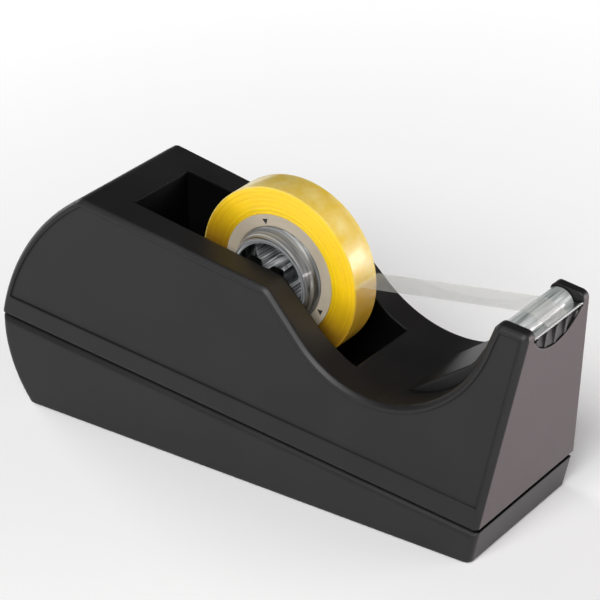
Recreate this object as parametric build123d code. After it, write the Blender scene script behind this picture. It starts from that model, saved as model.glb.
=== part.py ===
from build123d import *
import math
import os

# Desk tape dispenser: a moulded housing on a weighted wedge-shaped base, a well with a clear hub
# that carries the tape, and a serrated blade in front of a half-round bar between two posts.
# Frame: X runs to the cutter, Z up, the origin is the middle of the footprint on the desk.

# ---- driving dimensions, in mm ----

# the joint between base and housing: a plane that falls towards the front
SHELL_WIDTH = 62.0
SEAM_FRONT_X = 92.6
SEAM_FRONT_Z = 12.4
SEAM_SLOPE = 0.103
SEAM_REAR_X = -101.9

# the sides lean in, a little at the rear and more at the front
RIM_RISE = 70.0
RIM_LEAN_REAR = 1.75
RIM_LEAN_FRONT = 13.15

# side view of the housing
TOP_REAR_X = -67.0
TOP_REAR_Z = 84.8
TOP_SLOPE = 0.165
REAR_BULGE = 6.6
CREST_X = 8.0
SWOOP_X = 51.0
SWOOP_LOW_Z = 45.5
SWOOP_REAR_RADIUS = 40.0
SWOOP_FRONT_RADIUS = 38.0
FRONT_TOP_X = 102.2
POST_REAR_X = 90.4
POST_TOP_Z = 82.3
POST_TOP_FALL = 1.2
SHELL_WALL = 2.8
EDGE_BEVEL = 1.2
TOP_CORNER_ROUND = 4.0
CREST_ROUND = 6.0
POST_ROUND = 2.4
BASE_EDGE_ROUND = 2.4

# sunk side panels, and the shadow gap above the seam
PANEL_BORDER = 2.3
PANEL_DEPTH = 0.5
BAND_HEIGHT = 8.6
GAP_HEIGHT = 1.6
GAP_DEPTH = 1.5

# well for the roll
WELL_WIDTH = 30.0
WELL_REAR_X = -53.6
WELL_FRONT_X = 36.4
WELL_FLOOR_Z = 32.0
WELL_CORNER_Z = 43.0

# base
BASE_STEP = 0.4
BASE_DRAFT = 0.5
BASE_FRONT_X = 90.0
BASE_REAR_X = -92.6
BASE_BULGE = 3.0
BASE_WALL = 4.6
BASE_FLOOR = 2.6
COLLAR_HEIGHT = 6.0
COLLAR_CLEARANCE = 0.2

# tape roll and hub
AXLE_X = -0.7
AXLE_Z = 67.1
TAPE_WIDTH = 12.0
ROLL_DIAMETER = 61.6
CORE_DIAMETER = 42.4
CORE_WIDTH = 12.4
HUB_DIAMETER = 33.4
HUB_RIM_DIAMETER = 29.6
HUB_END_CLEARANCE = 0.3
HUB_WALL = 1.6
HUB_WEB = 1.8
HUB_BOSS_DIAMETER = 9.6
HUB_HOLE_DIAMETER = 7.4
HUB_HOLE_RING = 19.4
HUB_HOLES = 4
AXLE_DIAMETER = 6.0
AXLE_FLAT_WIDTH = 4.6
AXLE_RUNNING_CLEARANCE = 0.05
SLIDING_CLEARANCE = 0.15
SADDLE_CLEARANCE = 0.3

# saddles inside the well that take the axle ends
SADDLE_LENGTH = 12.6
SADDLE_THICKNESS = 3.0
SADDLE_BOTTOM_Z = 54.0

# cutter between the posts
BAR_X = 93.3
BAR_Z = 76.0
BAR_RADIUS = 5.2
CUTTER_CLEARANCE = 0.2
SEAT_Z = 68.0
RAMP_FOOT_X = 56.0
RAMP_KNEE_X = 80.5
RAMP_KNEE_Z = 63.4
RAMP_KNEE_ROUND = 12.0
LEDGE_Z = 76.8
CRESCENT_WIDTH = 28.4
CRESCENT_DEPTH = 6.8
RIBS = 5
RIB_PITCH = 6.0
RIB_WIDTH = 1.4
APRON_THICKNESS = 1.0
BLADE_THICKNESS = 0.5
BLADE_REACH = 3.4
BLADE_LIP_ANGLE = 15.0
BLADE_LEG = 4.7
TOOTH_PITCH = 1.25
TOOTH_DEPTH = 0.9

# free end of the tape
FILM_THICKNESS = 0.25
PEEL_HEIGHT = 4.2
PEEL_GAP = 0.4

# screws, weight and feet
SCREW_X_REAR = -84.0
SCREW_X_FRONT = 79.0
SCREW_EDGE_DISTANCE = 11.6
SCREW_DIAMETER = 3.0
SCREW_HEAD_DIAMETER = 6.0
SCREW_HEAD_HEIGHT = 1.8
SCREW_HEAD_RECESS = 0.6
SCREW_LENGTH = 13.0
SCREW_PILOT_CLEARANCE = 0.05
BOSS_DIAMETER = 8.0
STAND_DIAMETER = 11.0
STAND_TOP_Z = 6.4
BALLAST_REAR_X = -76.0
BALLAST_FRONT_X = 70.0
BALLAST_CLEARANCE = 0.6
BALLAST_BELOW_SEAM = 2.0
FOOT_DIAMETER = 15.0
FOOT_THICKNESS = 1.6
FOOT_PROUD = 0.6
FOOT_X = (-64.0, 62.0)
FOOT_EDGE_DISTANCE = 10.1

# ---- values that follow ----
REACH = 130.0
TALL = 140.0
HALF_WELL = WELL_WIDTH / 2
BASE_TOP_WIDTH = SHELL_WIDTH - 2 * BASE_STEP
BASE_BOTTOM_WIDTH = BASE_TOP_WIDTH - 2 * BASE_DRAFT
HUB_LENGTH = WELL_WIDTH - 2 * (SADDLE_THICKNESS + HUB_END_CLEARANCE)
SCREW_Y = BASE_BOTTOM_WIDTH / 2 - SCREW_EDGE_DISTANCE
FOOT_Y = BASE_BOTTOM_WIDTH / 2 - FOOT_EDGE_DISTANCE
SEAT_REAR_X = BAR_X - BAR_RADIUS - CUTTER_CLEARANCE
BLADE_LEG_X = BAR_X + BAR_RADIUS + 0.1
APRON_X = BLADE_LEG_X + BLADE_THICKNESS + 0.1
BASE_BOTTOM_Z = FOOT_PROUD
FLOOR_Z = BASE_BOTTOM_Z + BASE_FLOOR
CRESCENT_RADIUS = ((CRESCENT_WIDTH / 2) ** 2 + CRESCENT_DEPTH ** 2) / (2 * CRESCENT_DEPTH)
CRESCENT_Z = LEDGE_Z - CRESCENT_DEPTH + CRESCENT_RADIUS


def seam_z(x):
    """Height of the joint between base and housing."""
    return SEAM_FRONT_Z + SEAM_SLOPE * (SEAM_FRONT_X - x)


def top_z(x):
    """Height of the flat top of the housing."""
    return TOP_REAR_Z - TOP_SLOPE * (x - TOP_REAR_X)


def front_x(z):
    """The front face leans forward as it rises."""
    lean = (FRONT_TOP_X - SEAM_FRONT_X) / (POST_TOP_Z - POST_TOP_FALL - SEAM_FRONT_Z)
    return SEAM_FRONT_X + lean * (z - SEAM_FRONT_Z)


def across(face, width):
    """Side-view outline, drawn in X and Z, made a prism of this width about the middle plane."""
    return extrude(Plane.XZ * face, amount=width / 2, both=True)


def box(x_range, y_range, z_range):
    """Block between pairs of coordinates."""
    size = [high - low for low, high in (x_range, y_range, z_range)]
    middle = [(high + low) / 2 for low, high in (x_range, y_range, z_range)]
    return Pos(*middle) * Box(*size)


def polygon(points):
    """Closed face through these points."""
    return make_face(Polyline(*points, close=True))


def rounded(face, corners, radius):
    """Rounds the corners of a flat outline that lie at these points."""
    for corner in corners:
        face = fillet(face.vertices().sort_by_distance((*corner, 0))[0], radius)
    return face


def disc(diameter, length, x, z, y=0.0):
    """Cylinder along Y with its middle at this place."""
    return Pos(x, y, z) * Rot(90, 0, 0) * Cylinder(diameter / 2, length)


def upright(diameter, low, high, x, y):
    """Vertical cylinder between two heights."""
    return Pos(x, y, (low + high) / 2) * Cylinder(diameter / 2, high - low)


def side_block(inset=0.0):
    """Block with the housing's leaning sides: straight rails along the seam and along the rim."""
    wires = []
    for rise in (-RIM_RISE / 4, RIM_RISE * 1.4):
        corners = []
        for x, rim_lean in ((-REACH, RIM_LEAN_REAR), (REACH, RIM_LEAN_FRONT)):
            half = SHELL_WIDTH / 2 - rim_lean * rise / RIM_RISE - inset
            corners.append((x, half, seam_z(x) + rise))
        rear, front = corners
        wires.append(Wire.make_polygon([
            (rear[0], -rear[1], rear[2]), (front[0], -front[1], front[2]), front, rear], close=True))
    return Solid.make_loft(wires, ruled=True)


def tangent_point(x, z, radius, from_x, from_z, side):
    """Where a line from this point touches the circle, on its left (1) or right (-1) side."""
    run, rise = x - from_x, z - from_z
    distance = math.hypot(run, rise)
    reach = math.sqrt(distance ** 2 - radius ** 2)
    heading = math.atan2(rise, run) + side * math.asin(radius / distance)
    return from_x + reach * math.cos(heading), from_z + reach * math.sin(heading)


def on_circle(x, z, radius, degrees):
    """Point of a circle in the side view."""
    angle = math.radians(degrees)
    return x + radius * math.cos(angle), z + radius * math.sin(angle)


def arc_to(start, centre, end):
    """The shorter arc between two points about this centre."""
    radius = math.dist(start, centre)
    x, z = (start[0] + end[0]) / 2 - centre[0], (start[1] + end[1]) / 2 - centre[1]
    share = radius / math.hypot(x, z)
    return ThreePointArc(start, (centre[0] + x * share, centre[1] + z * share), end)


def wall_outline(drop=0.0):
    """Side view of the housing's walls, with the lower edge this far below the seam."""
    crest = (CREST_X, top_z(CREST_X))
    low = (SWOOP_X, SWOOP_LOW_Z)
    rear_centre = SWOOP_LOW_Z + SWOOP_REAR_RADIUS
    front_centre = SWOOP_LOW_Z + SWOOP_FRONT_RADIUS
    post_rear = (POST_REAR_X, POST_TOP_Z)
    post_front = (FRONT_TOP_X, POST_TOP_Z - POST_TOP_FALL)
    slope_foot = tangent_point(SWOOP_X, rear_centre, SWOOP_REAR_RADIUS, *crest, -1)
    post_foot = tangent_point(SWOOP_X, front_centre, SWOOP_FRONT_RADIUS, *post_rear, 1)
    seam_front = (SEAM_FRONT_X, SEAM_FRONT_Z)
    seam_rear = (SEAM_REAR_X, seam_z(SEAM_REAR_X))
    top_rear = (TOP_REAR_X, TOP_REAR_Z)
    edges = [
        Line(top_rear, crest),
        Line(crest, slope_foot),
        arc_to(slope_foot, (SWOOP_X, rear_centre), low),
        arc_to(low, (SWOOP_X, front_centre), post_foot),
        Line(post_foot, post_rear),
        Line(post_rear, post_front),
        Line(post_front, seam_front),
        SagittaArc(seam_rear, top_rear, REAR_BULGE),
    ]
    if drop:
        front_drop = (SEAM_FRONT_X, SEAM_FRONT_Z - drop)
        rear_drop = (SEAM_REAR_X, seam_rear[1] - drop)
        edges += [Line(seam_front, front_drop), Line(front_drop, rear_drop), Line(rear_drop, seam_rear)]
    else:
        edges.append(Line(seam_front, seam_rear))
    face = make_face(edges)
    face = rounded(face, [post_rear, post_front], POST_ROUND)
    face = rounded(face, [crest], CREST_ROUND)
    return rounded(face, [top_rear], TOP_CORNER_ROUND)


def inner_body(inset):
    """The housing's form, this much smaller all round, and open through the seam."""
    outline = offset(wall_outline(drop=4 * SHELL_WALL + BASE_WALL), -inset, kind=Kind.INTERSECTION)
    return across(outline, 2 * SHELL_WIDTH) & side_block(inset)


def seam_slab(low, high):
    """Layer between two heights above the seam."""
    rear, front = seam_z(-REACH), seam_z(REACH)
    return across(polygon([(-REACH, rear + low), (REACH, front + low),
                           (REACH, front + high), (-REACH, rear + high)]), 2 * SHELL_WIDTH)


def well_outline(grow=0.0):
    """Side view of the well: upright ends and a floor that follows the roll."""
    rear, front = WELL_REAR_X - grow, WELL_FRONT_X + grow
    middle = ((rear + front) / 2, WELL_FLOOR_Z - grow)
    return make_face([
        ThreePointArc((rear, WELL_CORNER_Z - grow), middle, (front, WELL_CORNER_Z - grow)),
        Polyline((front, WELL_CORNER_Z - grow), (front, TALL), (rear, TALL), (rear, WELL_CORNER_Z - grow)),
    ])


def ramp():
    """Raised ramp between the walls, up to the rear edge of the bar."""
    knee = (RAMP_KNEE_X, RAMP_KNEE_Z)
    foot = (RAMP_FOOT_X, SWOOP_LOW_Z)
    head = (SEAT_REAR_X, BAR_Z)
    under = SEAT_Z - 3 * SHELL_WALL
    face = polygon([foot, knee, head, (SEAT_REAR_X, under), (RAMP_FOOT_X, SWOOP_LOW_Z - 2 * SHELL_WALL)])
    return across(rounded(face, [knee], RAMP_KNEE_ROUND), WELL_WIDTH)


def crescent(shrink=0.0):
    """Crescent window under the blade, as a prism along X."""
    circle = Pos(0, CRESCENT_Z) * Circle(CRESCENT_RADIUS - shrink)
    window = circle & Pos(0, LEDGE_Z - WELL_WIDTH / 2) * Rectangle(WELL_WIDTH - 2 * shrink, WELL_WIDTH)
    return extrude(Plane.YZ.offset(APRON_X - 0.1) * window, amount=WELL_WIDTH)


def saddles():
    """Blocks on the two walls of the well, each with an open-topped slot for the axle."""
    blocks = []
    half_slot = AXLE_FLAT_WIDTH / 2 + SLIDING_CLEARANCE
    slot_floor = AXLE_Z - AXLE_DIAMETER / 2 - SADDLE_CLEARANCE
    for side in (-1, 1):
        inner, outer = side * (HALF_WELL - SADDLE_THICKNESS), side * (HALF_WELL + 1)
        span = (min(inner, outer), max(inner, outer))
        block = box((AXLE_X - SADDLE_LENGTH / 2, AXLE_X + SADDLE_LENGTH / 2), span,
                    (SADDLE_BOTTOM_Z, TALL))
        slot_span = (min(inner, side * HALF_WELL), max(inner, side * HALF_WELL))
        blocks.append(block - box((AXLE_X - half_slot, AXLE_X + half_slot), slot_span,
                                  (slot_floor, TALL)))
    return blocks


def screw_places():
    """Middle of each of the four case screws."""
    return [(x, side * SCREW_Y) for x in (SCREW_X_REAR, SCREW_X_FRONT) for side in (-1, 1)]


def rim_edges(half):
    """Edges of the near side that lie above the seam."""
    edges = []
    for edge in half.edges():
        middle = edge @ 0.5
        if middle.Y < -HALF_WELL / 2 and middle.Z > seam_z(middle.X) + GAP_HEIGHT / 4:
            edges.append(edge)
    return edges


def sunk_panel():
    """What is cut from the near side, inside its border, to sink the panel."""
    inside = across(offset(wall_outline(), -PANEL_BORDER, kind=Kind.INTERSECTION), 2 * SHELL_WIDTH)
    near = inside & box((-REACH, REACH), (-REACH, -HALF_WELL), (0, TALL))
    return near - side_block(PANEL_DEPTH) - seam_slab(-TALL, BAND_HEIGHT)


def outer_walls():
    """Full outer form of the housing, with its bevelled rim and sunk side panels."""
    half = across(wall_outline(), 2 * SHELL_WIDTH) & side_block() & box((-REACH, REACH), (-REACH, 0), (0, TALL))
    half = chamfer(rim_edges(half), EDGE_BEVEL)
    half -= sunk_panel()
    return half + mirror(half, Plane.XZ)


def upper_shell():
    """Housing: hollow walls, well, saddles, ramp, cutter seat, sunk side panels and shadow gap."""
    outer = outer_walls()
    seat = box((RAMP_KNEE_X, APRON_X - 0.1), (-HALF_WELL, HALF_WELL), (SEAT_Z, TALL))
    above_ledge = box((APRON_X - 1, REACH), (-HALF_WELL, HALF_WELL), (LEDGE_Z, TALL))
    body = outer - seat - above_ledge - crescent() + ramp()

    tub = across(well_outline(SHELL_WALL), WELL_WIDTH + 2 * SHELL_WALL)
    roof = box((-REACH, REACH), (-REACH, REACH), (SEAT_Z - 3 * SHELL_WALL, TALL))
    rear_roof = box((-REACH, SWOOP_X), (-REACH, REACH), (SEAT_Z - 3 * SHELL_WALL, TALL))
    cavity = inner_body(SHELL_WALL) - (roof - rear_roof) - tub
    body = body - cavity - across(well_outline(), WELL_WIDTH)
    for saddle in saddles():
        body += saddle & outer
    for x, y in screw_places():
        boss = upright(BOSS_DIAMETER, STAND_TOP_Z, TALL, x, y) & (outer + seam_block_below())
        body += boss - upright(SCREW_DIAMETER + 2 * SCREW_PILOT_CLEARANCE, 0,
                               BASE_BOTTOM_Z + SCREW_LENGTH + 2, x, y)

    ring = seam_slab(-1, GAP_HEIGHT) - inner_body(GAP_DEPTH)
    return body - ring


def seam_block_below():
    """Space inside the base where the housing's screw bosses reach down."""
    return inner_body(BASE_WALL + 1) & seam_slab(-TALL, 1)


def base_outline(inset=0.0, low=BASE_BOTTOM_Z, rise=0.0):
    """Side view of the base, or of the room in it, which may rise above the seam."""
    rear_top = (SEAM_REAR_X + inset, seam_z(SEAM_REAR_X))
    front_top = (SEAM_FRONT_X - inset, SEAM_FRONT_Z)
    rear_low, front_low = (BASE_REAR_X + inset, low), (BASE_FRONT_X - inset, low)
    rear_high, front_high = (rear_top[0], rear_top[1] + rise), (front_top[0], front_top[1] + rise)
    edges = [SagittaArc(rear_top, rear_low, -BASE_BULGE), Line(rear_low, front_low), Line(front_low, front_top)]
    if rise:
        edges += [Line(front_top, front_high), Line(front_high, rear_high), Line(rear_high, rear_top)]
    else:
        edges.append(Line(front_top, rear_top))
    return make_face(edges)


def base_section(inset=0.0):
    """End view of the base, as a prism along X."""
    low, high = BASE_BOTTOM_Z, seam_z(SEAM_REAR_X)
    half_low, half_high = BASE_BOTTOM_WIDTH / 2 - inset, BASE_TOP_WIDTH / 2 - inset
    face = polygon([(-half_low, low), (half_low, low), (half_high, high), (-half_high, high)])
    return extrude(Plane.YZ * face, amount=REACH, both=True)


def foot_places():
    """Name and middle of each foot pad."""
    ends = (("rear", FOOT_X[0]), ("front", FOOT_X[1]))
    sides = (("near", -FOOT_Y), ("far", FOOT_Y))
    return [(f"foot_pad_{end}_{side}", x, y) for end, x in ends for side, y in sides]


def base_tray():
    """Base: tapered outer form, collar that locates the housing, stands for screws and weight."""
    outer = across(base_outline(), 2 * SHELL_WIDTH) & base_section()
    corner_edges = [edge for edge in outer.edges()
                    if abs((edge @ 0.5).Y) > 1 and abs((edge @ 0).Z - (edge @ 1).Z) > 5]
    outer = fillet(corner_edges, BASE_EDGE_ROUND)
    collar_inset = SHELL_WALL + COLLAR_CLEARANCE
    collar = inner_body(collar_inset) & seam_slab(-1, COLLAR_HEIGHT)
    room = inner_body(BASE_WALL) & seam_slab(-2, COLLAR_HEIGHT + 1)
    hollow = across(base_outline(BASE_WALL, FLOOR_Z, 1), 2 * SHELL_WIDTH) & base_section(BASE_WALL)
    body = outer + collar - room - hollow
    for x, y in screw_places():
        body += upright(STAND_DIAMETER, BASE_BOTTOM_Z, STAND_TOP_Z, x, y) & outer
    for x, y in screw_places():
        body -= upright(SCREW_HEAD_DIAMETER + 0.6, 0, BASE_BOTTOM_Z + SCREW_HEAD_RECESS + SCREW_HEAD_HEIGHT, x, y)
        body -= upright(SCREW_DIAMETER + 0.4, 0, STAND_TOP_Z + 1, x, y)
    for _, x, y in foot_places():
        body -= upright(FOOT_DIAMETER + 0.4, 0, FOOT_THICKNESS, x, y)
    return body


def ballast_block():
    """Steel weight that fills the base between the screw stands."""
    inset = BASE_WALL + BALLAST_CLEARANCE
    rear, front = BALLAST_REAR_X, BALLAST_FRONT_X
    face = polygon([(rear, FLOOR_Z), (front, FLOOR_Z), (front, seam_z(front) - BALLAST_BELOW_SEAM),
                    (rear, seam_z(rear) - BALLAST_BELOW_SEAM)])
    block = across(face, BASE_BOTTOM_WIDTH - 2 * inset)
    block = chamfer(block.edges().filter_by(Axis.Z), 2 * BALLAST_CLEARANCE)
    return block


def case_screw(x, y):
    """Flat-headed screw, head down."""
    low = BASE_BOTTOM_Z + SCREW_HEAD_RECESS
    head = upright(SCREW_HEAD_DIAMETER, low, low + SCREW_HEAD_HEIGHT, x, y)
    return head + upright(SCREW_DIAMETER, low, low + SCREW_LENGTH, x, y)


def case_screws():
    """Four screws from below, into the housing's bosses."""
    return Compound([case_screw(x, y) for x, y in screw_places()])


def foot_pad(x, y):
    """Round non-slip pad, let into the underside."""
    return upright(FOOT_DIAMETER, 0, FOOT_THICKNESS, x, y)


def hub_drum():
    """Clear hub: drum with tapered ends, a web with round holes, a boss and ribs."""
    half, core = HUB_LENGTH / 2, CORE_WIDTH / 2
    radius, rim = HUB_DIAMETER / 2, HUB_RIM_DIAMETER / 2
    section = polygon([
        (radius, -core), (radius, core), (rim, half), (rim - HUB_WALL, half),
        (radius - HUB_WALL, core), (radius - HUB_WALL, -core), (rim - HUB_WALL, -half), (rim, -half)])
    drum = revolve(section, Axis.Y)
    web = Rot(90, 0, 0) * Cylinder(radius - HUB_WALL / 2, HUB_WEB)
    for index in range(HUB_HOLES):
        place = Rot(0, 360 / HUB_HOLES * index, 0) * Pos(HUB_HOLE_RING / 2, 0, 0)
        web -= place * Rot(90, 0, 0) * Cylinder(HUB_HOLE_DIAMETER / 2, 2 * HUB_WEB)
    hub = drum + web + Rot(90, 0, 0) * Cylinder(HUB_BOSS_DIAMETER / 2, HUB_LENGTH)
    rib_inner, rib_outer = HUB_BOSS_DIAMETER / 2 - 0.5, radius - HUB_WALL / 2
    for index in range(HUB_HOLES):
        rib_face = polygon([(rib_inner, -half + 1), (rib_outer, -core + 1), (rib_outer, core - 1),
                            (rib_inner, half - 1)])
        rib = extrude(rib_face, amount=HUB_WEB / 3, both=True)
        hub += Rot(0, 360 / HUB_HOLES * (index + 0.5), 0) * rib
    hub -= Rot(90, 0, 0) * Cylinder(AXLE_DIAMETER / 2 + AXLE_RUNNING_CLEARANCE, 2 * HUB_LENGTH)
    return Pos(AXLE_X, 0, AXLE_Z) * hub


def hub_axle():
    """Axle with two flats on each end, so that it stands still in the saddles."""
    saddle_face = HALF_WELL - SADDLE_THICKNESS
    axle = disc(AXLE_DIAMETER, 2 * (HALF_WELL - SLIDING_CLEARANCE), AXLE_X, AXLE_Z)
    for side in (-1, 1):
        for flank in (-1, 1):
            reach = (side * (saddle_face - SLIDING_CLEARANCE), side * (HALF_WELL + 1))
            flat = (AXLE_X + flank * AXLE_FLAT_WIDTH / 2, AXLE_X + flank * AXLE_DIAMETER)
            axle -= box((min(flat), max(flat)), (min(reach), max(reach)),
                        (AXLE_Z - AXLE_DIAMETER, AXLE_Z + AXLE_DIAMETER))
    return axle


def tape_core():
    """Plastic core ring with softened edges."""
    ring = disc(CORE_DIAMETER, CORE_WIDTH, AXLE_X, AXLE_Z)
    ring -= disc(HUB_DIAMETER + 2 * AXLE_RUNNING_CLEARANCE, 2 * CORE_WIDTH, AXLE_X, AXLE_Z)
    mouths = [edge for edge in ring.edges().filter_by(GeomType.CIRCLE)
              if edge.radius < (HUB_DIAMETER + CORE_DIAMETER) / 4]
    return chamfer(mouths, 0.5)


def tape_winding():
    """Wound tape on the core."""
    ring = disc(ROLL_DIAMETER, TAPE_WIDTH, AXLE_X, AXLE_Z)
    return ring - disc(CORE_DIAMETER, 2 * TAPE_WIDTH, AXLE_X, AXLE_Z)


def blade_tip():
    """Front edge of the blade's teeth, on its upper face."""
    angle = math.radians(BLADE_LIP_ANGLE)
    lip_z = LEDGE_Z + 0.2 + BLADE_THICKNESS
    return BLADE_LEG_X + BLADE_REACH * math.cos(angle), lip_z + BLADE_REACH * math.sin(angle)


def cutter_blade():
    """Folded strip: an upright leg between bar and apron, and a lip with teeth that points forward."""
    tip_x, tip_z = blade_tip()
    lip_z = LEDGE_Z + 0.2 + BLADE_THICKNESS
    leg_low = lip_z - BLADE_LEG
    face = polygon([
        (BLADE_LEG_X, leg_low), (BLADE_LEG_X + BLADE_THICKNESS, leg_low),
        (BLADE_LEG_X + BLADE_THICKNESS, lip_z - BLADE_THICKNESS),
        (tip_x, tip_z - BLADE_THICKNESS), (tip_x, tip_z), (BLADE_LEG_X, lip_z)])
    length = WELL_WIDTH - 4 * CUTTER_CLEARANCE
    blade = across(face, length)
    count = int(length / TOOTH_PITCH)
    first = -TOOTH_PITCH * (count - 1) / 2
    notch = polygon([(tip_x + 0.1, -TOOTH_PITCH / 2), (tip_x + 0.1, TOOTH_PITCH / 2),
                     (tip_x - TOOTH_DEPTH, 0)])
    notch = extrude(Pos(0, 0, LEDGE_Z) * notch, amount=3 * BLADE_REACH)
    return blade - [Pos(0, first + TOOTH_PITCH * index, 0) * notch for index in range(count)]


def landing_bar():
    """Half-round bar between the posts."""
    bar = disc(2 * BAR_RADIUS, WELL_WIDTH - 2 * CUTTER_CLEARANCE, BAR_X, BAR_Z)
    return bar & box((0, REACH), (-REACH, REACH), (BAR_Z, TALL))


def blade_holder():
    """Insert under the bar, with a ribbed apron in the crescent window."""
    half = HALF_WELL - CUTTER_CLEARANCE
    slot_floor = LEDGE_Z + 0.2 + BLADE_THICKNESS - BLADE_LEG - 0.1
    block = box((SEAT_REAR_X + CUTTER_CLEARANCE, BLADE_LEG_X - 0.1), (-half, half), (SEAT_Z, BAR_Z))
    window = crescent(CUTTER_CLEARANCE)
    apron = window & box((0, APRON_X + APRON_THICKNESS), (-half, half), (0, LEDGE_Z - 0.3))
    link = window & box((0, APRON_X + APRON_THICKNESS), (-half, half), (0, slot_floor))
    foot = box((BLADE_LEG_X - 1, APRON_X - 0.1), (-half, half), (SEAT_Z, slot_floor))
    holder = block + foot + apron + link
    face = offset(wall_outline(), -CUTTER_CLEARANCE, kind=Kind.INTERSECTION)
    front = across(face, WELL_WIDTH)
    for index in range(RIBS):
        y = (index - (RIBS - 1) / 2) * RIB_PITCH
        rib = window & box((APRON_X, REACH), (y - RIB_WIDTH / 2, y + RIB_WIDTH / 2), (0, LEDGE_Z - 0.3))
        holder += rib & front
    return holder


def tape_lead():
    """Free end of the tape: peels off the front of the roll, over the bar and out to the teeth."""
    start_z = AXLE_Z + PEEL_HEIGHT
    start_x = AXLE_X + ROLL_DIAMETER / 2 + PEEL_GAP
    tip_x, tip_z = blade_tip()
    paths = []
    for lift in (0.1, 0.1 + FILM_THICKNESS):
        radius = BAR_RADIUS + lift
        run, rise = BAR_X - start_x, BAR_Z - start_z
        distance = math.hypot(run, rise)
        slope = math.degrees(math.atan2(rise, run) + math.asin(radius / distance))
        first = on_circle(BAR_X, BAR_Z, radius, 90 + slope)
        end = (tip_x - TOOTH_DEPTH / 2, tip_z + lift)
        run, rise = end[0] - BAR_X, end[1] - BAR_Z
        distance = math.hypot(run, rise)
        leave = math.degrees(math.atan2(rise, run) + math.acos(radius / distance))
        last = on_circle(BAR_X, BAR_Z, radius, leave)
        middle = on_circle(BAR_X, BAR_Z, radius, (90 + slope + leave) / 2)
        paths.append(((start_x, start_z + lift), first, middle, last, end))
    low, high = paths
    face = make_face([
        Line(low[0], low[1]), ThreePointArc(low[1], low[2], low[3]), Line(low[3], low[4]),
        Line(low[4], high[4]), Line(high[4], high[3]), ThreePointArc(high[3], high[2], high[1]),
        Line(high[1], high[0]), Line(high[0], low[0])])
    return across(face, TAPE_WIDTH)


def save(name, shape):
    """Writes one node."""
    solids = shape.solids()
    whole = solids[0] if len(solids) == 1 else Compound(solids)
    whole.label = name
    export_step(whole, f"parts/{name}.step")
    print(f"{name:22s} {len(solids)} solid(s) {whole.volume:10.0f} mm3")


def main():
    os.makedirs("parts", exist_ok=True)
    save("upper_shell", upper_shell())
    save("base_tray", base_tray())
    save("ballast_block", ballast_block())
    save("case_screws", case_screws())
    for name, x, y in foot_places():
        save(name, foot_pad(x, y))
    save("hub_drum", hub_drum())
    save("hub_axle", hub_axle())
    save("tape_core", tape_core())
    save("tape_winding", tape_winding())
    save("landing_bar", landing_bar())
    save("blade_holder", blade_holder())
    save("cutter_blade", cutter_blade())
    save("tape_lead", tape_lead())


main()
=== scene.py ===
# %% [markdown]
# # Dressing a desk tape dispenser
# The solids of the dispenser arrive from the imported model, already in place. This lesson gives them
# their finishes, remakes the two pieces whose looks need more than a plain solid, the wound roll and
# its loose end, and adds the marks on the core. Every length is in metres.

# %% Load the solids
import math

import bpy
from mathutils import Matrix, Vector


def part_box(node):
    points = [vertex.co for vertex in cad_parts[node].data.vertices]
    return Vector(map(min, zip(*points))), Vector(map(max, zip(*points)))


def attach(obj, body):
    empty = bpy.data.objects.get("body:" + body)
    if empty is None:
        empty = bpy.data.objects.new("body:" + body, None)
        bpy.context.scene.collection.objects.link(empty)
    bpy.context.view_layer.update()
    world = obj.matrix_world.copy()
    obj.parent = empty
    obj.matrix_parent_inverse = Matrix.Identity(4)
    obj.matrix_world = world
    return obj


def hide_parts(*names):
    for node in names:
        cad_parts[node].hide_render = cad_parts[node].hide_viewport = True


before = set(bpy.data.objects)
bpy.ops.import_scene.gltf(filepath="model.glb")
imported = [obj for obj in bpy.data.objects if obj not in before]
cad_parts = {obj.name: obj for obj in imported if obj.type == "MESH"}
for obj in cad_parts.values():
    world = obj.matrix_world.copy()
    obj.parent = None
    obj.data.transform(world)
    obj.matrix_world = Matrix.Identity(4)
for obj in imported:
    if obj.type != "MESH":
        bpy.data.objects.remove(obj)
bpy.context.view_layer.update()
print("nodes:", sorted(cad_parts))

# %% [markdown]
# ## The camera
# The picture is taken from above the near side, 35 degrees round towards the cutter, with a long
# lens. A camera can be aimed at a point, but that loses the small roll about the line of sight. The
# eye's place and its angles were solved from straight edges of the housing, so they are numbers here.

# %% Camera
CAMERA_TURN = math.radians(35.35)
CAMERA_TILT = math.radians(27.74)
CAMERA_ROLL = math.radians(-0.325)
EYE = Vector((0.45691, -0.63903, 0.46823))
FOCAL_PIXELS = 2669.6
PICTURE_PIXELS = 600
SENSOR_MM = 36
NEAREST = 0.01

ahead = Vector((-math.sin(CAMERA_TURN) * math.cos(CAMERA_TILT),
                math.cos(CAMERA_TURN) * math.cos(CAMERA_TILT),
                -math.sin(CAMERA_TILT)))
right = Vector((math.cos(CAMERA_TURN), math.sin(CAMERA_TURN), 0))
up = right.cross(ahead)
right_rolled = math.cos(CAMERA_ROLL) * right + math.sin(CAMERA_ROLL) * up
up_rolled = right_rolled.cross(ahead)

bpy.ops.object.select_all(action="DESELECT")
bpy.ops.object.camera_add(location=EYE)
camera = bpy.context.object
camera.name = "photo_camera"
camera.matrix_world = Matrix((
    (right_rolled.x, up_rolled.x, -ahead.x, EYE.x),
    (right_rolled.y, up_rolled.y, -ahead.y, EYE.y),
    (right_rolled.z, up_rolled.z, -ahead.z, EYE.z),
    (0, 0, 0, 1)))
camera.data.sensor_width = SENSOR_MM
camera.data.lens = SENSOR_MM * FOCAL_PIXELS / PICTURE_PIXELS
camera.data.clip_start = NEAREST
bpy.context.scene.camera = camera
print("lens", round(camera.data.lens, 1), "mm")

# %% [markdown]
# ## Short ways to write node graphs
# A material is a graph of nodes, and each node needs the same few lines: make it, set it, join it up.
# These helpers say that once. An input takes a number, a colour, or the output of another node.


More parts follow.
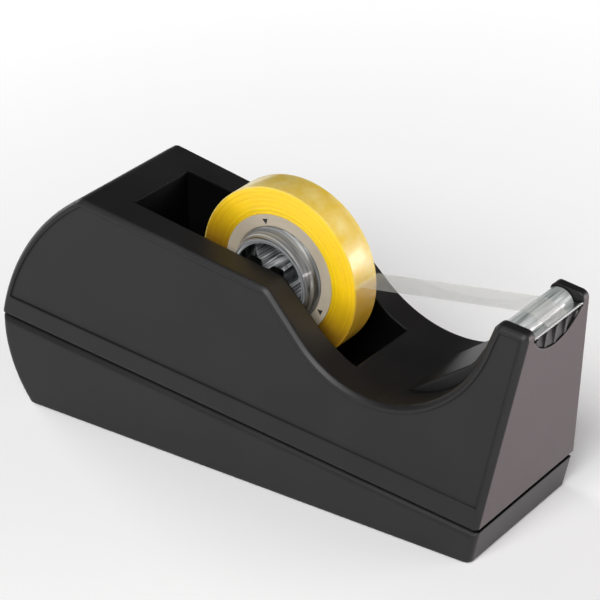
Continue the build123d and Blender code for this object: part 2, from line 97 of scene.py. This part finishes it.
# %% Node helpers
def new_material(name, **shader_values):
    """An empty material with its tree and its shader, whose inputs are given by name."""
    material = bpy.data.materials.new(name)
    material.use_nodes = True
    shader = material.node_tree.nodes["Principled BSDF"]
    for socket, value in shader_values.items():
        shader.inputs[socket.replace("_", " ")].default_value = value
    return material, material.node_tree, shader


def add(tree, kind, inputs=None, **settings):
    """A node of one kind, with its settings made before its inputs are filled."""
    node = tree.nodes.new("ShaderNode" + kind)
    for name, value in settings.items():
        setattr(node, name, value)
    for socket, value in (inputs or {}).items():
        if isinstance(value, bpy.types.NodeSocket):
            tree.links.new(value, node.inputs[socket])
        else:
            node.inputs[socket].default_value = value
    return node


def feed(tree, shader, **sockets):
    """Joins values to inputs of the shader."""
    for name, value in sockets.items():
        tree.links.new(value, shader.inputs[name.replace("_", " ")])


def object_place(tree):
    """The place on the piece itself, so that a pattern keeps its real size."""
    return add(tree, "TexCoord").outputs["Object"]


print("node helpers ready")

# %% [markdown]
# ## Floor and light
# Black satin plastic mostly shows what it reflects: the side and the front face mirror the bright
# floor, while the top mirrors the dim room behind. So the room stays dim, and the floor is pale.
# A picture of a studio round the scene would light it too, but a few soft lamps are easier to steer.
# A low, wide lamp ahead of the cutter lifts the front face and skims over the slope. The main lamp
# is large and far away, so that the floor fades little towards the back. A faint glow of the floor,
# which grows with the distance, makes up for the rest. The weak third lamp is for views of the rear.

# %% Floor
FLOOR_SIZE = 8
GLOW_FROM, GLOW_TO = 0.15, 1.1
NEAR_GLOW, FAR_GLOW = 0.06, 0.85

bpy.ops.object.select_all(action="DESELECT")
bpy.ops.mesh.primitive_plane_add(size=FLOOR_SIZE, location=(0, 0, 0))
floor = bpy.context.object
floor.name = "floor"
pale_floor, floor_tree, floor_shader = new_material(
    "pale_floor", Base_Color=(0.90, 0.90, 0.90, 1), Roughness=0.9, Emission_Color=(1, 1, 1, 1))
reach = add(floor_tree, "VectorMath", {0: object_place(floor_tree)}, operation="LENGTH").outputs["Value"]
glow = add(floor_tree, "MapRange", {"Value": reach, "From Min": GLOW_FROM, "From Max": GLOW_TO,
                                    "To Min": NEAR_GLOW, "To Max": FAR_GLOW}).outputs["Result"]
feed(floor_tree, floor_shader, Emission_Strength=glow)
floor.data.materials.append(pale_floor)
print("floor at", floor.location.z)


# %% Lamps
def soft_lamp(name, place, target, size, watts, colour=(1, 1, 1)):
    """A lamp at place that faces target; size is its width and its height."""
    bpy.ops.object.select_all(action="DESELECT")
    bpy.ops.object.light_add(type="AREA", location=place)
    lamp = bpy.context.object
    lamp.name = name
    lamp.data.shape = "RECTANGLE"
    lamp.data.size, lamp.data.size_y = size
    lamp.data.energy = watts
    lamp.data.color = colour
    lamp.rotation_euler = (Vector(target) - Vector(place)).to_track_quat("-Z", "Y").to_euler()


soft_lamp("lamp_ahead", (0.95, 0.50, 0.15), (0.1, 0, 0.05), (0.9, 0.26), 9, (1.0, 0.92, 0.935))
soft_lamp("lamp_key", (0.7, -2.4, 2.2), (0, 0.3, 0), (1.8, 1.8), 120)
soft_lamp("lamp_rear", (-2.2, 0.5, 0.8), (0, 0, 0.05), (1.0, 1.0), 22)
ROOM_LIGHT = 0.06
world = bpy.data.worlds.new("studio")
world.use_nodes = True
world.node_tree.nodes["Background"].inputs["Color"].default_value = (1, 1, 1, 1)
world.node_tree.nodes["Background"].inputs["Strength"].default_value = ROOM_LIGHT
bpy.context.scene.world = world
bpy.context.scene.view_settings.view_transform = "Standard"

# %% [markdown]
# ## A finish with grain
# Most pieces of the dispenser are moulded or pressed, with one colour and a fine texture. One graph
# serves them all. A slow noise steers the colour a little, and the roughness. A fine noise gives the
# bump of the grain, which is far too small to model. Moulded edges are never sharp: a Bevel node
# shades them as if they were rounded, without a change to the solids.


# %% Noise and tones
def noise(tree, where, scale, detail):
    """Soft random tones from 0 to 1 round each place."""
    return add(tree, "TexNoise", {"Vector": where, "Scale": scale, "Detail": detail}).outputs["Fac"]


def toned(tree, source, stops):
    """Turns a value into a colour. Each stop is a position and a colour."""
    node = add(tree, "ValToRGB", {"Fac": source})
    elements = node.color_ramp.elements
    while len(elements) < len(stops):
        elements.new(0.5)
    for element, (position, colour) in zip(elements, stops):
        element.position = position
        element.color = (*colour, 1)
    return node.outputs["Color"]


def spread(tree, source, least, most):
    """Spreads a value of 0 to 1 over another range."""
    return add(tree, "MapRange", {"Value": source, "To Min": least, "To Max": most}).outputs["Result"]


print("noise and tones ready")

# %% Finish helper
CLOUD_SCALE = 45


def finish(name, dark, light, rough, grain=900.0, bump=0.05, bump_depth=0.00005, soft_edge=0.0,
           **shader_values):
    """A material whose colour lies between dark and light, and whose roughness wanders in a range.
    With a soft_edge, sharp edges catch the light as if they were rounded by that radius."""
    material, tree, shader = new_material(name, **shader_values)
    place = object_place(tree)
    cloud = noise(tree, place, CLOUD_SCALE, 3)
    relief = add(tree, "Bump", {"Height": noise(tree, place, grain, 2), "Strength": bump,
                                "Distance": bump_depth})
    if soft_edge:
        rounded = add(tree, "Bevel", {"Radius": soft_edge}, samples=8)
        tree.links.new(rounded.outputs["Normal"], relief.inputs["Normal"])
    feed(tree, shader, Base_Color=toned(tree, cloud, [(0.3, dark), (0.7, light)]),
         Roughness=spread(tree, cloud, *rough), Normal=relief.outputs["Normal"])
    return material


def give(node, material):
    """Puts one material on every slot of a solid."""
    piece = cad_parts[node]
    if not piece.data.materials:
        piece.data.materials.append(material)
    for index in range(len(piece.data.materials)):
        piece.data.materials[index] = material


print("finish helper ready")

# %% [markdown]
# ## Black mouldings
# Housing and base are moulded in black plastic with a fine satin grain, and a bump of a few
# hundredths of a millimetre carries it. The base has a grain of its own, a little coarser, because
# the two come from different moulds. Three things vary over the mouldings, and all three are painted
# light and shade. The front faces get a lighter, warmer tone: painted light where the lamps fall on
# them. The well and the gap above the base are painted blacker and less glossy: painted shade. And
# inner corners are painted darker than open walls: painted shade. Painted maps could hold all this,
# but places and directions on the piece say it exactly.


# %% Shares and blends
def climb(tree, source, low, high, top=1.0):
    """A value that climbs from 0 where source is low to top where it is high."""
    node = add(tree, "MapRange", {"Value": source, "From Min": low, "From Max": high, "To Max": top})
    return node.outputs["Result"]


def times(tree, first, second):
    """Two values multiplied."""
    return add(tree, "Math", {0: first, 1: second}, operation="MULTIPLY").outputs["Value"]


def mixed(tree, share, first, second, blend_type="MIX"):
    """A blend of two colours."""
    node = add(tree, "Mix", {"Factor": share, "A": first, "B": second},
               data_type="RGBA", blend_type=blend_type)
    return node.outputs["Result"]


print("share helpers ready")

# %% Where light and shade are painted
# Painted shade is this near-black, with little gloss.
SHADE_BLACK = (0.002, 0.002, 0.002)
SHADE_GLOSS = 0.1
# Faces near the front end that look along +X get painted light, a lighter tone where the lamps fall.
FRONT_LOOK = (0.90, 0.985)
FRONT_END = (0.088, 0.092)


def recolour(material, share, colour):
    """Blends another base colour in, where share is 1."""
    tree = material.node_tree
    shader = tree.nodes["Principled BSDF"]
    before = shader.inputs["Base Color"].links[0].from_socket
    feed(tree, shader, Base_Color=mixed(tree, share, before, (*colour, 1)))


def paint_front_light(material, colour):
    """Paints light on the faces at the front end that look along +X: a lighter tone that stands in for the
    light falling there.
    """
    tree = material.node_tree
    facing = add(tree, "SeparateXYZ", {"Vector": add(tree, "TexCoord").outputs["Normal"]})
    spot = add(tree, "SeparateXYZ", {"Vector": object_place(tree)})
    looks_ahead = climb(tree, facing.outputs["X"], *FRONT_LOOK)
    at_front = climb(tree, spot.outputs["X"], *FRONT_END)
    recolour(material, times(tree, looks_ahead, at_front), colour)


def paint_shade(material, share):
    """Paints shade: makes the finish blacker and less glossy where share is 1, on top of any painted shade
    before.
    """
    tree = material.node_tree
    level = tree.nodes["Principled BSDF"].inputs["Specular IOR Level"]
    before = level.links[0].from_socket if level.links else level.default_value
    recolour(material, share, SHADE_BLACK)
    tree.links.new(spread(tree, share, before, SHADE_GLOSS), level)


print("front and dull helpers ready")

# %% Places where shade is painted
OPEN_WALL, CLOSED_CORNER, CREVICE_SHARE = 0.93, 0.55, 0.85
BLEND_WIDTH = 0.0002


def shade_crevices(material, distance):
    """Paints shade into inner corners, which neighbouring walls shade within that distance."""
    tree = material.node_tree
    openness = add(tree, "AmbientOcclusion", {"Distance": distance}, samples=8).outputs["AO"]
    paint_shade(material, climb(tree, openness, OPEN_WALL, CLOSED_CORNER, CREVICE_SHARE))


def shade_well(material, rear, front, half_width):
    """Paints shade on the walls of the well, which only light from above reaches."""
    tree = material.node_tree
    spot = add(tree, "SeparateXYZ", {"Vector": object_place(tree)})
    across = add(tree, "Math", {0: spot.outputs["Y"]}, operation="ABSOLUTE").outputs["Value"]
    after_rear = climb(tree, spot.outputs["X"], rear - BLEND_WIDTH, rear)
    before_front = climb(tree, spot.outputs["X"], front + BLEND_WIDTH, front)
    inside = climb(tree, across, half_width + BLEND_WIDTH, half_width)
    paint_shade(material, times(tree, times(tree, after_rear, before_front), inside))


def times_plus(tree, first, factor, second):
    """The first value times a factor, plus the second."""
    return add(tree, "Math", {0: first, 1: factor, 2: second}, operation="MULTIPLY_ADD").outputs["Value"]


def shade_seam(material, front_x, front_z, slope, height):
    """Paints shade on the walls of the gap between base and housing, which climbs towards the rear."""
    tree = material.node_tree
    spot = add(tree, "SeparateXYZ", {"Vector": object_place(tree)})
    level = times_plus(tree, spot.outputs["X"], slope, spot.outputs["Z"])
    seam = front_z + slope * front_x
    above = climb(tree, level, seam - BLEND_WIDTH, seam - BLEND_WIDTH / 2)
    below = climb(tree, level, seam + height, seam + height - BLEND_WIDTH / 2)
    paint_shade(material, times(tree, above, below))


print("well, seam and crevice helpers ready")

# %% Black plastics
# The well's walls get painted shade.
WELL_REAR, WELL_FRONT, WELL_HALF_WIDTH = -0.0536, 0.0364, 0.0150
# The gap above the base gets painted shade.
SEAM_FRONT_X, SEAM_FRONT_Z, SEAM_SLOPE, SEAM_HEIGHT = 0.0926, 0.0124, 0.103, 0.0016
# Inner corners get painted shade within this reach.
CREVICE_REACH = 0.0016

housing_black = finish("housing_black", (0.0060, 0.0055, 0.0058), (0.0095, 0.0087, 0.0091), (0.42, 0.50),
                       grain=2600, bump=0.3, soft_edge=0.0013, Specular_IOR_Level=0.42)
base_black = finish("base_black", (0.0058, 0.0055, 0.0058), (0.0090, 0.0086, 0.0090), (0.42, 0.50),
                    grain=2300, bump=0.3, soft_edge=0.0009, Specular_IOR_Level=0.42)
holder_black = finish("holder_black", (0.022, 0.021, 0.021), (0.034, 0.032, 0.032), (0.32, 0.44),
                      grain=2600, bump=0.3, soft_edge=0.0003)
# Painted light on the front faces, then painted shade in inner corners, in the well and in the gap above
# the base.
paint_front_light(housing_black, (0.064, 0.049, 0.052))
paint_front_light(base_black, (0.030, 0.027, 0.028))
shade_crevices(housing_black, CREVICE_REACH)
shade_well(housing_black, WELL_REAR, WELL_FRONT, WELL_HALF_WIDTH)
for moulding in (housing_black, base_black):
    shade_seam(moulding, SEAM_FRONT_X, SEAM_FRONT_Z, SEAM_SLOPE, SEAM_HEIGHT)
give("upper_shell", housing_black)
give("base_tray", base_black)
give("blade_holder", holder_black)
print("nodes in the housing's finish:", len(housing_black.node_tree.nodes))

# %% [markdown]
# ## Rubber, iron and screws
# Non-slip pads and zinc-plated screws are under the dispenser, and a cast weight is inside it. They
# are seen only from below, or never, and the axle's ends only once the roll is lifted out. Still,
# each gets its own grain: rubber is dull and coarse, cast iron is rough, and a plated screw is
# bright. The same helper is enough for all of them.

# %% Hidden finishes
pad_rubber = finish("pad_rubber", (0.035, 0.035, 0.036), (0.055, 0.054, 0.054), (0.75, 0.9), grain=1500,
                    bump=0.5, bump_depth=0.0001)
weight_iron = finish("weight_iron", (0.14, 0.14, 0.15), (0.24, 0.24, 0.25), (0.55, 0.75), grain=500,
                     bump=0.6, bump_depth=0.0003, Metallic=0.9)
screw_zinc = finish("screw_zinc", (0.48, 0.49, 0.50), (0.62, 0.62, 0.60), (0.28, 0.42), grain=1800,
                    bump=0.2, Metallic=1.0)
axle_grey = finish("axle_grey", (0.055, 0.055, 0.058), (0.075, 0.075, 0.078), (0.3, 0.4), bump=0.2)
for node in ("foot_pad_rear_near", "foot_pad_rear_far", "foot_pad_front_near", "foot_pad_front_far"):
    give(node, pad_rubber)
give("ballast_block", weight_iron)
give("case_screws", screw_zinc)
give("hub_axle", axle_grey)
print("hidden finishes on 7 solids")

# %% [markdown]
# ## Core, hub and bar
# The hub and the bar are clear plastic. Real clear walls show bright and dark streaks of the room,
# lengthwise on the bar and in rings on the hub. Full glass would need many bounces of light and turns
# black inside a dark well. So the streaks are tones of a glossy surface here, and a little light
# passes through. Noise makes them: it reads the direction from the axis, the place along it and the
# distance from it, each with its own weight.


# %% Streaked plastic
def about_line(tree, centre_x, centre_z):
    """For patterns round a line along Y: the place seen from that line, its parts X, Y and Z, and
    what of it lies across the line."""
    node = add(tree, "Mapping", {"Vector": object_place(tree), "Location": (-centre_x, 0, -centre_z)})
    point = node.outputs["Vector"]
    parts = add(tree, "SeparateXYZ", {"Vector": point}).outputs
    flat = add(tree, "CombineXYZ", {"X": parts["X"], "Z": parts["Z"]}).outputs["Vector"]
    return point, parts, flat


def streaked(name, centre, tones, scale, lengths, rings, rough, transmission):
    """Clear plastic round a line along Y. The tones follow the direction from that line. lengths
    breaks them up along Y, and rings adds tones that follow the distance from the line."""
    material = finish(name, tones[0][1], tones[-1][1], rough, grain=260, bump=0.08,
                      Transmission_Weight=transmission)
    tree = material.node_tree
    _, parts, flat = about_line(tree, *centre)
    direction = add(tree, "VectorMath", {0: flat}, operation="NORMALIZE").outputs["Vector"]
    away = add(tree, "VectorMath", {0: flat}, operation="LENGTH").outputs["Value"]
    shift = add(tree, "CombineXYZ", {"X": times(tree, away, rings),
                                     "Y": times(tree, parts["Y"], lengths)})
    where = add(tree, "VectorMath", {0: direction, 1: shift.outputs["Vector"]}, operation="ADD")
    streak = noise(tree, where.outputs["Vector"], scale, 2.5)
    feed(tree, tree.nodes["Principled BSDF"], Base_Color=toned(tree, streak, tones))
    return material


print("streak helper ready")


# %% Hub and bar
def middle(low, high):
    """X and Z of the middle of a box."""
    return (low[0] + high[0]) / 2, (low[2] + high[2]) / 2


HUB_TONES = [(0.34, (0.03, 0.03, 0.032)), (0.43, (0.15, 0.155, 0.16)),
             (0.58, (0.30, 0.31, 0.32)), (0.68, (0.78, 0.80, 0.80))]
BAR_TONES = [(0.30, (0.15, 0.17, 0.165)), (0.44, (0.34, 0.37, 0.36)),
             (0.58, (0.50, 0.53, 0.52)), (0.68, (0.85, 0.87, 0.87))]
drum_low, drum_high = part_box("hub_drum")
hub_clear = streaked("hub_clear", middle(drum_low, drum_high), HUB_TONES, scale=1.15, lengths=60,
                     rings=1500, rough=(0.08, 0.2), transmission=0.25)
roller_low, roller_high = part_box("landing_bar")
bar_axis = (middle(roller_low, roller_high)[0], roller_low[2])
bar_clear = streaked("bar_clear", bar_axis, BAR_TONES, scale=4.5, lengths=9, rings=0,
                     rough=(0.06, 0.18), transmission=0.1)
give("hub_drum", hub_clear)
give("landing_bar", bar_clear)
print("bar's axis at", [round(v, 4) for v in bar_axis])

# %% [markdown]
# The core is moulded in warm pale grey, and the blade is thin bright steel. Both are plain enough
# for the common finish.

# %% Core and blade
core_grey = finish("core_grey", (0.34, 0.29, 0.22), (0.46, 0.40, 0.31), (0.4, 0.55), grain=1400, bump=0.2,
                   soft_edge=0.0003)
blade_bright = finish("blade_bright", (0.62, 0.62, 0.62), (0.78, 0.78, 0.78), (0.2, 0.34), grain=1600,
                      bump=0.15, Metallic=1.0)
give("tape_core", core_grey)
give("cutter_blade", blade_bright)
print("core and blade done")

# %% [markdown]
# ## The wound roll
# The solid is a plain ring. On the real roll the flank shows fine rings, one for each few layers,
# because no winding is perfectly even, and the outermost turn has a soft edge. A spun outline would
# give the same form. Here a ring of edges is pulled step by step, as on a lathe: outwards along the
# near flank, with each step up to 0.08 mm shy of the tape's full width, across the roll's rim, and
# back in along the far flank.

# %% Lathe helper
WELD = 0.000005


def pulled_ring(name, centre, stations, steps=160):
    """A closed ring about a line along Y: a circle pulled through (radius, y) stations."""
    first_radius, first_y = stations[0]
    bpy.ops.object.select_all(action="DESELECT")
    bpy.ops.mesh.primitive_circle_add(vertices=steps, radius=first_radius, fill_type="NOTHING",
                                      location=(centre[0], first_y, centre[2]),
                                      rotation=(math.pi / 2, 0, 0))
    ring = bpy.context.object
    ring.name = name
    bpy.ops.object.transform_apply(location=True, rotation=True, scale=True)
    bpy.ops.object.mode_set(mode="EDIT")
    bpy.ops.mesh.select_all(action="SELECT")
    radius, y = first_radius, first_y
    for next_radius, next_y in list(stations[1:]) + [stations[0]]:
        bpy.ops.mesh.extrude_region_move(TRANSFORM_OT_translate={"value": (0, next_y - y, 0)})
        growth = next_radius / radius
        bpy.ops.transform.resize(value=(growth, 1, growth),
                                 center_override=(centre[0], next_y, centre[2]))
        radius, y = next_radius, next_y
    bpy.ops.mesh.select_all(action="SELECT")
    bpy.ops.mesh.remove_doubles(threshold=WELD)
    bpy.ops.mesh.normals_make_consistent(inside=False)
    bpy.ops.object.mode_set(mode="OBJECT")
    bpy.ops.object.shade_smooth_by_angle(angle=math.radians(35))
    return ring


print("lathe helper ready")

# %% Sizes of the roll
winding_low, winding_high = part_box("tape_winding")
roll_x, roll_z = middle(winding_low, winding_high)
ROLL_RADIUS = (winding_high[0] - winding_low[0]) / 2
HALF_TAPE = (winding_high[1] - winding_low[1]) / 2
core_low, core_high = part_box("tape_core")
CORE_RADIUS = (core_high[0] - core_low[0]) / 2
print("roll", round(ROLL_RADIUS * 1000, 2), "mm in radius on a core of", round(CORE_RADIUS * 1000, 2))

# %% Roll
RINGS = 22
SHY = (0.00003, 0.0, 0.00006, 0.00002, 0.00008, 0.00001, 0.00004)
SHY_STRIDE = 3
FLANK_END = 0.00025
RIM_STEPS = ((0.00005, 0.00012), (0.0, 0.0004))

near_flank = []
for index in range(RINGS + 1):
    ring_radius = CORE_RADIUS + (ROLL_RADIUS - FLANK_END - CORE_RADIUS) * index / RINGS
    near_flank.append((ring_radius, -HALF_TAPE + SHY[(index * SHY_STRIDE) % len(SHY)]))
near_rim = [(ROLL_RADIUS - inset, -HALF_TAPE + tuck) for inset, tuck in RIM_STEPS]
near_half = near_flank + near_rim
far_half = [(station_radius, -y) for station_radius, y in near_half[::-1]]
roll = pulled_ring("wound_roll", (roll_x, 0.0, roll_z), near_half + far_half)
print("roll faces:", len(roll.data.polygons))

# %% [markdown]
# ## The colour of the tape
# The film is clear, but many layers of film and glue add up to a strong yellow on the flank. Low and
# towards the rear, where less light gets in, the flank is painted amber: painted shade. The outer turn
# is paler and blotched by air under it, down to the line where the loose end comes off; below that
# line it is amber, partly painted shade. Glass-like layers would be the true way, and far too slow.
# One surface with some light scattered under it looks the same. The distance from the axle tells
# flank from rim, and fine rings follow that distance.

# %% Tape colours
# The amber tones are painted shade on the flank, and partly painted shade below the peel line.
FLANK_AMBER, FLANK_YELLOW = (0.27, 0.14, 0.009), (0.92, 0.60, 0.004)
RING_SHADE, RING_LIGHT = (0.86, 0.83, 0.7), (1, 1, 1)
OUTER_YELLOW, OUTER_PALE = (0.66, 0.45, 0.045), (0.72, 0.58, 0.21)
PEELED_SHADED_AMBER = (0.46, 0.27, 0.018, 1)
PEEL_FROM, PEEL_TO = 0.0022, 0.0036
AMBER_LOW, AMBER_HIGH = -0.024, 0.026
REAR_SHARE = 0.42
STAIN_SCALE, STAIN_SHARE, RING_SHARE = 55, 0.35, 0.8
BLOTCH_SCALE = 130


def flank_colour(tree, point, parts, rings):
    """Amber as painted shade to yellow, by height and place along the dispenser, stained, with fine rings.
    """
    # Painted shade: amber low and towards the rear, where less light gets in.
    height = climb(tree, times_plus(tree, parts["X"], REAR_SHARE, parts["Z"]), AMBER_LOW, AMBER_HIGH)
    stained = times_plus(tree, noise(tree, point, STAIN_SCALE, 2), STAIN_SHARE, height)
    flank = toned(tree, stained, [(0.50, FLANK_AMBER), (1.0, FLANK_YELLOW)])
    ring_tone = toned(tree, rings, [(0.35, RING_SHADE), (0.65, RING_LIGHT)])
    return mixed(tree, RING_SHARE, flank, ring_tone, "MULTIPLY")


def outer_colour(tree, point, parts):
    """Pale and blotched above the line where the loose end comes off, amber below it, partly painted shade.
    """
    blotched = toned(tree, noise(tree, point, BLOTCH_SCALE, 4),
                     [(0.35, OUTER_YELLOW), (0.65, OUTER_PALE)])
    # Below the peel line the amber is partly painted shade.
    return mixed(tree, climb(tree, parts["Z"], PEEL_FROM, PEEL_TO), PEELED_SHADED_AMBER, blotched)


print("tape colours ready")

# %% Tape material
RIM_FROM, RIM_TO = 0.0007, 0.0001
RING_SCALE = 1500

tape_yellow, tape_tree, tape_shader = new_material(
    "tape_yellow", IOR=1.47, Coat_Weight=0.35, Coat_Roughness=0.15, Subsurface_Weight=0.25,
    Subsurface_Radius=(0.006, 0.004, 0.0006), Subsurface_Scale=1.0)
tape_point, tape_parts, tape_flat = about_line(tape_tree, roll_x, roll_z)
from_axle = add(tape_tree, "VectorMath", {0: tape_flat}, operation="LENGTH").outputs["Value"]
fine_rings = add(tape_tree, "TexNoise", {"W": from_axle, "Scale": RING_SCALE, "Detail": 3},
                 noise_dimensions="1D").outputs["Fac"]
on_rim = climb(tape_tree, from_axle, ROLL_RADIUS - RIM_FROM, ROLL_RADIUS - RIM_TO)
ring_relief = add(tape_tree, "Bump", {"Height": fine_rings, "Strength": 0.25, "Distance": 0.0001})
feed(tape_tree, tape_shader,
     Base_Color=mixed(tape_tree, on_rim, flank_colour(tape_tree, tape_point, tape_parts, fine_rings),
                      outer_colour(tape_tree, tape_point, tape_parts)),
     Roughness=spread(tape_tree, fine_rings, 0.28, 0.42), Normal=ring_relief.outputs["Normal"])
roll.data.materials.append(tape_yellow)
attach(roll, "roll")
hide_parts("tape_winding")
print("roll dressed")

# %% [markdown]
# ## Marks on the core
# Two small triangles show on the visible part of the core's face. A third, where the housing hides
# the core, is a guess that shares out the rest of the ring. They are a plain printed sign. An image
# could carry them, but a three-cornered disc a few hundredths of a millimetre thick stays sharp at
# any size. Their tips point to the axle, on both faces.

# %% Core marks
MARK_SIZE = 0.0013
MARK_THICKNESS = 0.00004
MARK_ANGLES = (105.3, -27.9, 225.0)
HUB_RADIUS = 0.0167
MARK_RING = (CORE_RADIUS + HUB_RADIUS) / 2

mark_black = finish("mark_black", (0.012, 0.012, 0.012), (0.02, 0.02, 0.02), (0.5, 0.6))
for side, face_y, outward in (("near", core_low[1], -1), ("far", core_high[1], 1)):
    for index, degrees in enumerate(MARK_ANGLES):
        angle = math.radians(degrees)
        spot = (roll_x + MARK_RING * math.cos(angle), face_y, roll_z + MARK_RING * math.sin(angle))
        bpy.ops.object.select_all(action="DESELECT")
        bpy.ops.mesh.primitive_circle_add(vertices=3, radius=MARK_SIZE, fill_type="NGON", location=spot,
                                          rotation=(math.pi / 2, 1.5 * math.pi - angle, 0))
        mark = bpy.context.object
        mark.name = f"core_mark_{side}_{index}"
        bpy.ops.object.transform_apply(location=True, rotation=True, scale=True)
        bpy.ops.object.mode_set(mode="EDIT")
        bpy.ops.mesh.select_all(action="SELECT")
        bpy.ops.mesh.extrude_region_move(
            TRANSFORM_OT_translate={"value": (0, outward * MARK_THICKNESS, 0)})
        bpy.ops.mesh.select_all(action="SELECT")
        bpy.ops.mesh.normals_make_consistent(inside=False)
        bpy.ops.object.mode_set(mode="OBJECT")
        mark.data.materials.append(mark_black)
        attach(mark, "roll")
print("core marks at", round(MARK_RING * 1000, 2), "mm from the axle")

# %% [markdown]
# ## The loose end of the tape
# The film leaves the front of the roll, runs straight to the bar, bends over it and ends at the
# teeth. Real film is far thinner than the solid that stands for it. Cloth simulation could lay it
# over the bar, but taut film only knows straight lines and the bar's curve, so its path is computed:
# a line that touches the bar, an arc round it, and a line that leaves it.

# %% Path of the film
FILM_LIFT = 0.00022
START_LIFT = 0.00016
TIP_INSET = 0.0006
ARC_STEPS = 12

lead_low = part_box("tape_lead")[0]
bar_low, bar_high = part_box("landing_bar")
blade_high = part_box("cutter_blade")[1]
bar_x, bar_z = middle(bar_low, bar_high)[0], bar_low[2]
film_radius = (bar_high[0] - bar_low[0]) / 2 + FILM_LIFT
start = (lead_low[0], lead_low[2] + START_LIFT)
tip = (blade_high[0] - TIP_INSET, blade_high[2] + FILM_LIFT)


def over_bar(degrees):
    """Where the film is at an angle round the bar."""
    angle = math.radians(degrees)
    return bar_x + film_radius * math.cos(angle), bar_z + film_radius * math.sin(angle)


run, rise = bar_x - start[0], bar_z - start[1]
touch = 90 + math.degrees(math.atan2(rise, run) + math.asin(film_radius / math.hypot(run, rise)))
run, rise = tip[0] - bar_x, tip[1] - bar_z
leave = math.degrees(math.atan2(rise, run) + math.acos(film_radius / math.hypot(run, rise)))
first = over_bar(touch)
path = [start]
for share in (0.25, 0.5, 0.75):
    path.append((start[0] + (first[0] - start[0]) * share, start[1] + (first[1] - start[1]) * share))
path += [over_bar(touch + (leave - touch) * step / ARC_STEPS) for step in range(ARC_STEPS + 1)]
path.append(tip)
film_length = sum(math.dist(here, there) for here, there in zip(path, path[1:]))
print("film path:", len(path), "points,", round(film_length * 1000, 1), "mm")

# %% [markdown]
# One edge of a narrow strip is pulled along the path, and the sheet then gets a thin wall. Clear
# film hides little: it shows by its gloss, so most of the surface lets the light straight through.

# %% Loose end
SEED_WIDTH = 0.0001
SIDE_MARGIN = 0.0002
FILM_THICKNESS = 0.00008

bpy.ops.object.select_all(action="DESELECT")
bpy.ops.mesh.primitive_plane_add(size=1, location=(start[0], 0, start[1]))
film = bpy.context.object
film.name = "loose_end"
film.scale = (SEED_WIDTH, 2 * HALF_TAPE - SIDE_MARGIN, 1)
bpy.ops.object.transform_apply(location=True, rotation=True, scale=True)
bpy.ops.object.mode_set(mode="EDIT")
bpy.ops.mesh.select_mode(type="EDGE")
bpy.ops.mesh.select_all(action="DESELECT")
bpy.ops.object.mode_set(mode="OBJECT")
for edge in film.data.edges:
    edge.select = min(film.data.vertices[i].co.x for i in edge.vertices) > start[0]
bpy.ops.object.mode_set(mode="EDIT")
here = (start[0] + SEED_WIDTH / 2, start[1])
for there in path[1:]:
    bpy.ops.mesh.extrude_region_move(
        TRANSFORM_OT_translate={"value": (there[0] - here[0], 0, there[1] - here[1])})
    here = there
bpy.ops.mesh.select_all(action="SELECT")
bpy.ops.mesh.normals_make_consistent(inside=False)
bpy.ops.object.mode_set(mode="OBJECT")
wall = film.modifiers.new("film_wall", "SOLIDIFY")
wall.thickness = FILM_THICKNESS
wall.offset = 0
bpy.ops.object.modifier_apply(modifier="film_wall")
bpy.ops.object.shade_smooth_by_angle(angle=math.radians(40))
film_clear = finish("film_clear", (0.93, 0.93, 0.88), (0.97, 0.97, 0.93), (0.05, 0.14), grain=120, bump=0.1,
                    Transmission_Weight=0.55, IOR=1.25, Alpha=0.3)
film.data.materials.append(film_clear)
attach(film, "housing")
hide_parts("tape_lead")
print("film faces:", len(film.data.polygons))
